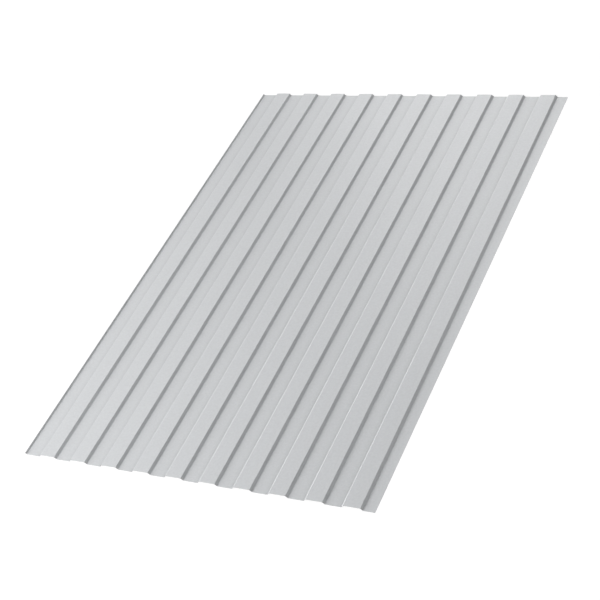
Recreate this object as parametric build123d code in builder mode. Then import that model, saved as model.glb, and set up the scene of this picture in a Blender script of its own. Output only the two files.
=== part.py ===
# Corrugated metal sheet: a trapezoidal wall and fence cladding sheet, roll-formed from one strip
# of coated steel. Ten low trapezoidal waves run its whole length. One long edge ends in a short
# lip, part of the way up a web. The other ends in a flat flange. The lip side of the next sheet
# lies over the flange side of this one, so that the two lap with the waves kept in step.
#
# The sheet lies as it would on a level floor: X runs across the waves, Y along them, +Z up.
# The origin is at the middle of the sheet, at the height of the groove floors' undersides.
# Widths and heights across the waves are measured on the middle of the sheet's thickness.

import math
import os

from build123d import *

# Driving dimensions, in millimetres.
sheet_length = 1750.0
sheet_thickness = 0.5
wave_count = 10
wave_pitch = 115.0
wave_height = 8.0
crest_width = 52.5
web_run = 6.25  # how far a web leans across while it climbs one wave height
bend_radius = 2.0  # on the inside of every rolled bend
lip_height = 5.5  # how far the lip at the lapping edge climbs
free_flange = 36.0  # flat left after the last web, which the next sheet covers

# Sizes that follow from them.
groove_floor = wave_pitch - crest_width - 2 * web_run
cover_width = wave_count * wave_pitch
lip_run = web_run * lip_height / wave_height
web_angle = math.atan2(wave_height, web_run)
mid_radius = bend_radius + sheet_thickness / 2
low_level = sheet_thickness / 2
high_level = low_level + wave_height

# The lip is cut square to its own slope, so its upper corner stands a little further out.
lip_reach = lip_run + sheet_thickness / 2 * math.sin(web_angle)
first_foot = (lip_reach - cover_width - free_flange) / 2


def wave_corners(foot):
    """The four corners of one wave, from the foot of one falling web to the top of the next."""
    groove_end = foot + groove_floor
    crest_start = groove_end + web_run
    crest_end = crest_start + crest_width
    return [
        (foot, low_level),
        (groove_end, low_level),
        (crest_start, high_level),
        (crest_end, high_level),
    ]


# The whole section as sharp corners: the lip, the waves, and the last foot with its flange.
section_corners = [(first_foot - lip_run, low_level + lip_height)]
for wave in range(wave_count):
    section_corners += wave_corners(first_foot + wave * wave_pitch)
last_foot = first_foot + cover_width
section_corners += [(last_foot, low_level), (last_foot + free_flange, low_level)]

# One strip of steel, bent to the section and cut square to length.
with BuildPart() as profiled_sheet:
    with BuildSketch(Plane.XZ.offset(-sheet_length / 2)) as section:
        with BuildLine() as mid_line:
            FilletPolyline(*section_corners, radius=mid_radius)
        trace(line_width=sheet_thickness)
    extrude(amount=sheet_length)

profiled_sheet.part.label = "profiled_sheet"

os.makedirs("parts", exist_ok=True)
export_step(profiled_sheet.part, "parts/profiled_sheet.step")
print("cover width", cover_width, "volume", round(profiled_sheet.part.volume))
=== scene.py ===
import math

import bpy
import numpy as np
from mathutils import Matrix, Vector


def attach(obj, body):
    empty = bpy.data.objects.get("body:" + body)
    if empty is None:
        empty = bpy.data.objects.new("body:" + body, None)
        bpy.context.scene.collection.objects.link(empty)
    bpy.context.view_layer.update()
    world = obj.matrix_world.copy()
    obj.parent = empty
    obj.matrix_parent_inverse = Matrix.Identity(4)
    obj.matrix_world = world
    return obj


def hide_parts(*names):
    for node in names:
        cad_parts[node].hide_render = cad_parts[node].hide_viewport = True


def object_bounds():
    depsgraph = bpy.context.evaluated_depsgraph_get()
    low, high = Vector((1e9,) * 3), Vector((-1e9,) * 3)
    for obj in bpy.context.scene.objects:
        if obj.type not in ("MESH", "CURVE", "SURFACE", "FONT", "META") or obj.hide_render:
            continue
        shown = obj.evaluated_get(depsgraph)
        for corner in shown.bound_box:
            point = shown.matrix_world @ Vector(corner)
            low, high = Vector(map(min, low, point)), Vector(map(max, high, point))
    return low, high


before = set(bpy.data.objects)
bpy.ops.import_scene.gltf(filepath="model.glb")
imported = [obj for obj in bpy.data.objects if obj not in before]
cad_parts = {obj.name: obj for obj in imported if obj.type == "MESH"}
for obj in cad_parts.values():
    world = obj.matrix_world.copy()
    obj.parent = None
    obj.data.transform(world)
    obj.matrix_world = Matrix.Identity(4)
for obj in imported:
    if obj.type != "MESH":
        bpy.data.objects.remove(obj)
cad_low, cad_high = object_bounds()


# The sheet
# One strip of zinc-coated steel, 0.5 mm thick, painted on both sides while it was a flat coil and then
# rolled cold into ten low trapezoidal waves, a lip and a flange. A blade cuts it square to length
# after rolling, and the long edges were slit before it, so all four edges show the bare steel.

MM = 0.001
wave_count = 10
wave_pitch = 115 * MM
wave_height = 8 * MM
crest_width = 52.5 * MM
web_run = 6.25 * MM
lip_height = 5.5 * MM
free_flange = 36 * MM
strip_thickness = 0.5 * MM
mid_radius = 2.25 * MM  # of the bends, on the middle of the thickness
corner_radius = 0.08 * MM  # of the slit edges
blade_radius = 0.06 * MM  # of the cut ends

web_angle = math.atan2(wave_height, web_run)
web_length = math.hypot(web_run, wave_height)
lip_length = web_length * lip_height / wave_height
groove_width = wave_pitch - crest_width - 2 * web_run
bend_length = mid_radius * web_angle
corner_cut = mid_radius * math.tan(web_angle / 2)  # what a bend takes off each run that it joins

# The strip is a chain of pieces, each with its length and the angle it turns by. A flat turns by none.
wave_lengths = [
    groove_width - 2 * corner_cut, bend_length, web_length - 2 * corner_cut, bend_length,
    crest_width - 2 * corner_cut, bend_length, web_length - 2 * corner_cut, bend_length,
]
wave_turns = [0, web_angle, 0, -web_angle, 0, -web_angle, 0, web_angle]
lengths = np.array(
    [lip_length - corner_cut, bend_length] + wave_lengths * wave_count + [free_flange - corner_cut]
)
turns = np.array([0, web_angle] + wave_turns * wave_count + [0])


def stations_along(lengths, turns, flat_steps, bend_steps, margin):
    """Where the chain is divided. Bends have even steps. Flats have a narrow margin at each end, which
    keeps the shading of the bend off the flat, and between the margins steps that follow a cosine, so
    that they are shorter towards the bends. Returns the piece that each station is on and its share
    of that piece's length."""
    steps = np.where(turns == 0, flat_steps, bend_steps)
    piece = np.repeat(np.arange(len(lengths)), steps)
    place = np.arange(len(piece)) - np.repeat(np.cumsum(steps) - steps, steps)
    edge = margin / lengths[piece]
    inner = edge + (1 - 2 * edge) * (1 - np.cos(np.pi * (place - 1) / (flat_steps - 2))) / 2
    on_flat = np.where(place == 0, 0, inner)
    share = np.where(turns[piece] == 0, on_flat, place / steps[piece])
    return np.append(piece, len(lengths) - 1), np.append(share, 1.0)


def rolled_line(lengths, turns, start, heading, piece, share):
    """The strip's middle line. After a share t of a piece of length L that turns by a, the line has
    gone L t sin(a t / 2) / (a t / 2) in the direction half-way through the turn made so far. Returns
    the points (x, z) and the line's headings at the stations."""
    before = heading + np.concatenate([[0], np.cumsum(turns)[:-1]])
    chords = lengths * np.sinc(turns / 2 / np.pi)
    middles = before + turns / 2
    strides = np.stack([chords * np.cos(middles), chords * np.sin(middles)], 1)
    starts = np.array(start) + np.concatenate([[[0, 0]], np.cumsum(strides, 0)[:-1]])
    made = turns[piece] * share
    gone = lengths[piece] * share * np.sinc(made / 2 / np.pi)
    towards = before[piece] + made / 2
    points = starts[piece] + gone[:, None] * np.stack([np.cos(towards), np.sin(towards)], 1)
    return points, before[piece] + made


def strip_outline(line, headings, thickness, radius, corner_steps):
    """The outline round the strip's section: half the thickness off the middle line, out along its
    upper side and back along its lower side, with a quarter round at each of the four corners.
    Returns the outline's points and its outward normals, as many above as below."""
    along = np.stack([np.cos(headings), np.sin(headings)], 1)
    across = np.stack([-np.sin(headings), np.cos(headings)], 1)
    quarter = np.linspace(0, np.pi / 2, corner_steps + 1)[:, None]

    def corner(end, way, side):
        inner = line[end] + side * (thickness / 2 - radius) * across[end] - way * radius * along[end]
        normal = np.sin(quarter) * way * along[end] + np.cos(quarter) * side * across[end]
        return inner + radius * normal, normal

    first_points, first_normals = corner(0, -1, 1)
    last_points, last_normals = corner(-1, 1, 1)
    low_last_points, low_last_normals = corner(-1, 1, -1)
    low_first_points, low_first_normals = corner(0, -1, -1)
    half = thickness / 2 * across[1:-1]
    points = np.concatenate([
        first_points[::-1], line[1:-1] + half, last_points,
        low_last_points[::-1], line[1:-1][::-1] - half[::-1], low_first_points,
    ])
    normals = np.concatenate([
        first_normals[::-1], across[1:-1], last_normals,
        low_last_normals[::-1], -across[1:-1][::-1], low_first_normals,
    ])
    return points, normals


def carried_along(outline, normals, stations_y, insets):
    """The outline carried along Y: point i at station j is outline i less inset j times normal i, at
    y j. The insets round the cut ends over. Faces that join the upper side to the lower side, across
    the thickness, close the two ends. Returns points and faces."""
    count, rows = len(outline), len(stations_y)
    flat = outline[None] - insets[:, None, None] * normals[None]
    y = np.repeat(stations_y[:, None], count, 1)
    points = np.stack([flat[..., 0], y, flat[..., 1]], -1).reshape(-1, 3)
    i, j = np.meshgrid(np.arange(count), np.arange(rows - 1))
    following = (i + 1) % count
    around = np.stack([
        j * count + i, j * count + following, (j + 1) * count + following, (j + 1) * count + i,
    ], -1).reshape(-1, 4)
    k = np.arange(count // 2 - 1)
    near_end = np.stack([k, count - 1 - k, count - 2 - k, k + 1], 1)
    far_end = near_end[:, ::-1] + (rows - 1) * count
    return points, np.concatenate([around, near_end, far_end])


piece, share = stations_along(lengths, turns, flat_steps=10, bend_steps=8, margin=0.3 * MM)
lip_end = (
    cad_low.x + strip_thickness / 2 * math.sin(web_angle),
    cad_low.z + strip_thickness / 2 + lip_height,
)
middle_line, headings = rolled_line(lengths, turns, lip_end, -web_angle, piece, share)
corner_steps = 3
outline, outward = strip_outline(middle_line, headings, strip_thickness, corner_radius, corner_steps)

blade_turn = np.linspace(0, math.pi / 2, corner_steps + 1)
rounded_y = blade_radius * (1 - np.cos(blade_turn))
rounded_inset = blade_radius * (1 - np.sin(blade_turn))
length_steps = 24
end_margin = 0.4 * MM  # keeps the shading of the rounded ends off the rest
straight_y = np.linspace(cad_low.y + end_margin, cad_high.y - end_margin, length_steps + 1)
stations_y = np.concatenate([cad_low.y + rounded_y, straight_y, cad_high.y - rounded_y[::-1]])
insets = np.concatenate([rounded_inset, np.zeros(length_steps + 1), rounded_inset[::-1]])

points, faces = carried_along(outline, outward, stations_y, insets)
mesh = bpy.data.meshes.new("coated_sheet")
mesh.from_pydata(points.tolist(), [], faces.tolist())

# Faces go to the top coat, the backing coat or the bare edges by their place round the outline. The
# three numbers are the material slots, in the order in which the finishes are added below.
TOP_COAT, BACKING_COAT, BARE_EDGE = 0, 1, 2
count = len(outline)
upper_count = count // 2
place_round = np.tile(np.arange(count), len(stations_y) - 1)
slit_edge = (place_round == upper_count - 1) | (place_round == count - 1)
coated = np.where(place_round < upper_count, TOP_COAT, BACKING_COAT)
finish = np.where(slit_edge, BARE_EDGE, coated)
finish = np.append(finish, np.full(len(faces) - len(finish), BARE_EDGE))
mesh.polygons.foreach_set("material_index", finish.astype(np.int32))
mesh.polygons.foreach_set("use_smooth", finish != BARE_EDGE)

# Three values ride on the mesh for the finishes. The first is how far across the thickness a point
# is, from the underside's 0 to the top's 1. The second is how far into a bend it is, from 0 at the
# bend's ends to 1 over its middle.
side = np.where(np.arange(count) < upper_count, 1.0, 0.0)
parabola = 4 * share * (1 - share)
full_height = 0.6  # of the parabola, from which a point counts as wholly in the bend
depth_in_bend = np.where(turns[piece] == 0, 0, np.minimum(parabola / full_height, 1))

# The third is how much painted shade the top coat takes, darker where the folds would shade it: 0 on
# the crests, 0.17 along the grooves, 1 at the foot of a rising web and 0.37 at the foot of a falling
# one. The flange is open to one side, so it and its web are at 0. The lip is painted dark as well, so
# it is at 1.
groove_shade = 0.17
rising_foot_shade = 0.83
falling_foot_shade = 0.20
rising_reach = 8 * MM
falling_reach = 11 * MM
lip_reach = 1.5 * MM
below_crest = 1 - (middle_line[:, 1] - middle_line[:, 1].min()) / wave_height
falling_feet = lip_end[0] + lip_height * web_run / wave_height + wave_pitch * np.arange(wave_count + 1)
rising_feet = falling_feet[:-1] + groove_width
from_falling = np.abs(middle_line[:, :1] - falling_feet).min(1)
from_rising = np.abs(middle_line[:, :1] - rising_feet).min(1)
rising_foot_darkening = rising_foot_shade * np.exp(-(from_rising / rising_reach) ** 2)
falling_foot_darkening = falling_foot_shade * np.exp(-(from_falling / falling_reach) ** 2)
painted_shade_line = below_crest * (groove_shade + rising_foot_darkening + falling_foot_darkening)
painted_shade_line[middle_line[:, 0] > falling_feet[-1] - web_run] = 0
up_the_lip = np.clip((falling_feet[0] - middle_line[:, 0]) / lip_reach, 0, 1)
painted_shade_line = np.maximum(painted_shade_line, up_the_lip)


def round_outline(values):
    """The middle line's values on the outline's points, above and below, with its ends' at the corners."""
    corner = np.ones(corner_steps + 1)
    upper = np.concatenate([values[0] * corner, values[1:-1], values[-1] * corner])
    return np.concatenate([upper, upper[::-1]])


mesh_values = (
    ("across", side),
    ("bent", round_outline(depth_in_bend)),
    ("painted_shade", round_outline(painted_shade_line)),
)
for name, values in mesh_values:
    attribute = mesh.attributes.new(name, "FLOAT", "POINT")
    attribute.data.foreach_set("value", np.tile(values, len(stations_y)).astype(np.float32))

coated_sheet = bpy.data.objects.new("coated_sheet", mesh)
bpy.context.scene.collection.objects.link(coated_sheet)


def linear(hex_colour):
    """An sRGB hex colour as linear red, green and blue, with alpha."""
    values = np.array([int(hex_colour[i:i + 2], 16) / 255 for i in (1, 3, 5)])
    return (*np.where(values <= 0.04045, values / 12.92, ((values + 0.055) / 1.055) ** 2.4), 1.0)


def add_node(tree, kind, settings=(), links=()):
    """Adds a shader node, sets its properties or sockets, and links other nodes' outputs into it. A
    link from a whole node comes from its first output."""
    node = tree.nodes.new(kind)
    for key, value in dict(settings).items():
        if isinstance(key, int) or key in node.inputs:
            node.inputs[key].default_value = value
        else:
            setattr(node, key, value)
    for key, source in dict(links).items():
        output = source.outputs[0] if isinstance(source, bpy.types.Node) else source
        tree.links.new(output, node.inputs[key])
    return node


def new_material(name):
    material = bpy.data.materials.new(name)
    material.use_nodes = True
    material.node_tree.nodes.clear()
    return material


def stretched_noise(tree, wavelengths, detail):
    """Noise about 0.5, whose cells are so many metres long along X, Y and Z."""
    place = add_node(tree, "ShaderNodeTexCoord")
    scaled = add_node(
        tree, "ShaderNodeMapping", {"Scale": [1 / length for length in wavelengths]},
        {"Vector": place.outputs["Object"]},
    )
    return add_node(
        tree, "ShaderNodeTexNoise", {"Scale": 1.0, "Detail": detail, "Roughness": 0.5},
        {"Vector": scaled},
    )


def added_up(tree, start, parts):
    """The start, and to it each pattern times its amount."""
    total = None
    for pattern, amount in parts:
        total = add_node(
            tree, "ShaderNodeMath", {"operation": "MULTIPLY_ADD", 1: amount, 2: start},
            {0: pattern} if total is None else {0: pattern, 2: total},
        )
    return total


# Polyester coil coat, 25 microns, put on by roller and baked, then rolled with the strip: a satin light
# grey with a fine mottle, bends burnished by the rolls and lifted in tone as a painted highlight, and
# painted shade along the folds' feet, across the grooves and up the lip. Mottle and orange peel are
# about 1 mm across, drawn as 7 and 4 mm so that they show as a faint grain.
coil_coat = new_material("polyester_coil_coat")
tree = coil_coat.node_tree
streaks = stretched_noise(tree, (7 * MM, 900 * MM, 60 * MM), detail=2.0)
clouds = stretched_noise(tree, (160 * MM, 420 * MM, 160 * MM), detail=1.0)
orange_peel = stretched_noise(tree, (4 * MM, 4 * MM, 4 * MM), detail=2.0)
mottle = stretched_noise(tree, (7 * MM, 7 * MM, 7 * MM), detail=1.0)
painted_shade_patches = stretched_noise(tree, (30 * MM, 90 * MM, 30 * MM), detail=2.0)
# Over the bends the roughness drops where the rolls burnished the coat, and the tone is lifted there as a
# painted highlight.
burnish_and_highlight = add_node(tree, "ShaderNodeAttribute", {"attribute_name": "bent"}).outputs["Fac"]
painted_shade = add_node(tree, "ShaderNodeAttribute", {"attribute_name": "painted_shade"}).outputs["Fac"]
# Painted shade: the tone is darkened along the folds' feet, across the grooves and up the lip, made patchy
# by a broad noise.
painted_shade_depth = add_node(
    tree, "ShaderNodeMath", {"operation": "MULTIPLY"},
    {0: painted_shade, 1: added_up(tree, 0.77, [(painted_shade_patches, 0.46)])},
)
tone = added_up(tree, 0.925, [
    (streaks, 0.012), (clouds, 0.016), (mottle, 0.13), (burnish_and_highlight, 0.04), (painted_shade_depth, -0.125),
])
roughness = added_up(tree, 0.38, [(streaks, 0.08), (burnish_and_highlight, -0.15)])
colour = add_node(tree, "ShaderNodeHueSaturation", {"Color": linear("#CED0D2")}, {"Value": tone})
peel = add_node(
    tree, "ShaderNodeBump", {"Strength": 1.0, "Distance": 0.004 * MM}, {"Height": orange_peel},
)
shader = add_node(
    tree, "ShaderNodeBsdfPrincipled", {"IOR": 1.5},
    {"Base Color": colour, "Roughness": roughness, "Normal": peel},
)
add_node(tree, "ShaderNodeOutputMaterial", links={"Surface": shader})
mesh.materials.append(coil_coat)

# Epoxy backing coat, 7 microns, thin and matt: a slightly warmer grey through which the zinc's grain
# shows as a faint mottle. The grain is about 1 mm across, drawn ten times as coarse so that it shows.
backing_coat = new_material("epoxy_backing_coat")
tree = backing_coat.node_tree
zinc_grain = stretched_noise(tree, (9 * MM, 14 * MM, 9 * MM), detail=3.0)
wear = stretched_noise(tree, (5 * MM, 1200 * MM, 60 * MM), detail=2.0)
tone = added_up(tree, 0.915, [(zinc_grain, 0.10), (wear, 0.06)])
roughness = added_up(tree, 0.495, [(zinc_grain, 0.22)])
colour = add_node(tree, "ShaderNodeHueSaturation", {"Color": linear("#BFBFBA")}, {"Value": tone})
shader = add_node(
    tree, "ShaderNodeBsdfPrincipled", {"IOR": 1.5}, {"Base Color": colour, "Roughness": roughness},
)
add_node(tree, "ShaderNodeOutputMaterial", links={"Surface": shader})
mesh.materials.append(backing_coat)

# Sheared steel: the blade leaves a bright burnished band under the top coat and a duller torn band
# below it, each with marks across the thickness, and a thin line of zinc along both sides. The marks
# are a tenth of a millimetre apart, drawn 1.2 mm apart so that they show.
sheared_edge = new_material("sheared_zinc_coated_steel")
tree = sheared_edge.node_tree
across = add_node(tree, "ShaderNodeAttribute", {"attribute_name": "across"}).outputs["Fac"]
blade_marks = stretched_noise(tree, (1.2 * MM, 1.2 * MM, 30 * MM), detail=2.0)
ramp = add_node(tree, "ShaderNodeValToRGB", links={"Fac": across})
stops = ramp.color_ramp.elements
zinc_line = linear("#C9CBCC")
stops[0].position, stops[0].color = 0.0, zinc_line
stops[1].position, stops[1].color = 1.0, zinc_line
steel_bands = ((0.05, "#8B8B8A"), (0.6, "#8F8F8E"), (0.66, "#B2B3B3"), (0.95, "#B5B6B6"))
for position, hex_colour in steel_bands:
    stops.new(position).color = linear(hex_colour)
tone = added_up(tree, 0.87, [(blade_marks, 0.24)])
colour = add_node(tree, "ShaderNodeHueSaturation", links={"Color": ramp, "Value": tone})
roughness = add_node(
    tree, "ShaderNodeMapRange", {"From Min": 0.55, "From Max": 0.7, "To Min": 0.55, "To Max": 0.34},
    {"Value": across},
)
shader = add_node(
    tree, "ShaderNodeBsdfPrincipled", {"Metallic": 1.0},
    {"Base Color": colour, "Roughness": roughness},
)
add_node(tree, "ShaderNodeOutputMaterial", links={"Surface": shader})
mesh.materials.append(sheared_edge)

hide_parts("profiled_sheet")
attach(coated_sheet, "root")


# The studio floor
# A wide sweep of matt white paper. To the camera and in reflections it is lifted to plain white, by
# three quarters within 1.3 m of its middle and wholly from 3 m outwards, so that only the deepest
# shadow, close under the sheet's edges, is seen on it. The glow is a little over white, to make up for
# the shaded quarter that stays in the mix.

floor_half = 12.0
floor_mesh = bpy.data.meshes.new("studio_floor")
floor_corners = floor_half * np.array([[-1, -1, 0], [1, -1, 0], [1, 1, 0], [-1, 1, 0]])
floor_mesh.from_pydata(floor_corners.tolist(), [], [(0, 1, 2, 3)])
studio_floor = bpy.data.objects.new("studio_floor", floor_mesh)
bpy.context.scene.collection.objects.link(studio_floor)


def seen_or_mirrored(tree):
    """One for rays from the camera and for those mirrored or let through by an object, else none."""
    path = add_node(tree, "ShaderNodeLightPath").outputs
    mirrored = add_node(
        tree, "ShaderNodeMath", {"operation": "MAXIMUM"},
        {0: path["Is Glossy Ray"], 1: path["Is Transmission Ray"]},
    )
    return add_node(
        tree, "ShaderNodeMath", {"operation": "MAXIMUM"}, {0: path["Is Camera Ray"], 1: mirrored},
    )


white_paper = new_material("matt_white_paper")
tree = white_paper.node_tree
place = add_node(tree, "ShaderNodeTexCoord")
away = add_node(
    tree, "ShaderNodeVectorMath", {"operation": "LENGTH"}, {0: place.outputs["Object"]},
)
distant = add_node(
    tree, "ShaderNodeMapRange", {"From Min": 1.3, "From Max": 3.0, "To Min": 0.75, "To Max": 1.0},
    {"Value": away.outputs["Value"]},
)
lifted = add_node(
    tree, "ShaderNodeMath", {"operation": "MULTIPLY"}, {0: distant, 1: seen_or_mirrored(tree)},
)
matte = add_node(tree, "ShaderNodeBsdfDiffuse", {"Color": linear("#E7E7E7")})
glow = add_node(tree, "ShaderNodeEmission", {"Strength": 1.18})
paper = add_node(tree, "ShaderNodeMixShader", links={0: lifted, 1: matte, 2: glow})
add_node(tree, "ShaderNodeOutputMaterial", links={"Surface": paper})
floor_mesh.materials.append(white_paper)


# The lights
# Four square soft boxes, two metres wide and four metres off. The strongest stands on the lip's side,
# so that the webs that fall the other way stay darker. One opposite gives those webs what light they
# have, and the rising webs a narrow shadow at their feet. These two are kept out of the gloss, in which
# they would glare over the sheet when it is seen from low down.

box_width = 2.0
box_distance = 4.0
soft_boxes = (  # azimuth and elevation in degrees, watts, shown in the gloss
    (240, 32, 125, False),
    (105, 32, 51, True),
    (150, 20, 27, True),
    (0, 26, 38, False),
)
for azimuth, elevation, watts, in_gloss in soft_boxes:
    turn, rise = math.radians(azimuth), math.radians(elevation)
    towards = Vector((math.cos(turn) * math.cos(rise), math.sin(turn) * math.cos(rise), math.sin(rise)))
    lamp = bpy.data.lights.new(f"soft_box_{azimuth}", "AREA")
    lamp.shape, lamp.size, lamp.energy = "SQUARE", box_width, watts
    soft_box = bpy.data.objects.new(lamp.name, lamp)
    soft_box.location = box_distance * towards
    soft_box.rotation_mode = "QUATERNION"
    soft_box.rotation_quaternion = towards.to_track_quat("Z", "Y")
    soft_box.visible_camera = False
    soft_box.visible_glossy = in_gloss
    bpy.context.scene.collection.objects.link(soft_box)

# White walls all round: plain white to the camera and in reflections. What lights the sheet comes from
# low on the lip's side, and fades upwards and towards the flange's side.
world = bpy.data.worlds.new("white_studio")
world.use_nodes = True
tree = world.node_tree
towards_wall = add_node(tree, "ShaderNodeTexCoord").outputs["Generated"]
way = add_node(tree, "ShaderNodeSeparateXYZ", links={0: towards_wall}).outputs
lip_side = add_node(
    tree, "ShaderNodeMapRange", {"From Min": -0.5, "From Max": 0.5, "To Min": 1.0, "To Max": 0.0},
    {"Value": way["X"]},
)
low_down = add_node(
    tree, "ShaderNodeMapRange", {"From Min": 0.2, "From Max": 0.7, "To Min": 1.0, "To Max": 0.0},
    {"Value": way["Z"]},
)
wall_light = add_node(tree, "ShaderNodeMath", {"operation": "MULTIPLY"}, {0: lip_side, 1: low_down})
strength = add_node(
    tree, "ShaderNodeMapRange", {"From Min": 0.0, "From Max": 1.0, "To Max": 1.0},
    {"Value": seen_or_mirrored(tree), "To Min": wall_light},
)
background = tree.nodes["Background"]
background.inputs["Color"].default_value = (1, 1, 1, 1)
tree.links.new(strength.outputs["Result"], background.inputs["Strength"])
bpy.context.scene.world = world


# The camera
# Its place, turn and focal length were solved from the folds and cut ends seen in the photograph.

picture_width = 600
focal_px = 1432.2
camera_data = bpy.data.cameras.new("camera")
camera_data.sensor_width = 36.0
camera_data.lens = focal_px / picture_width * camera_data.sensor_width
aim = Vector((30.88, -145.54, 0.5)) * MM
distance = 4461.6 * MM
azimuth, elevation, roll = math.radians(40.329), math.radians(39.854), math.radians(-23.502)
back = Vector((
    math.sin(azimuth) * math.cos(elevation),
    -math.cos(azimuth) * math.cos(elevation),
    math.sin(elevation),
))
level = Vector((math.cos(azimuth), math.sin(azimuth), 0))
upright = back.cross(level)
right = math.cos(roll) * level + math.sin(roll) * upright
up = back.cross(right)
camera = bpy.data.objects.new("camera", camera_data)
bpy.context.scene.collection.objects.link(camera)
turned = Matrix((right, up, back)).transposed().to_4x4()
camera.matrix_world = Matrix.Translation(aim + distance * back) @ turned
bpy.context.scene.camera = camera
bpy.context.scene.view_settings.view_transform = "Standard"
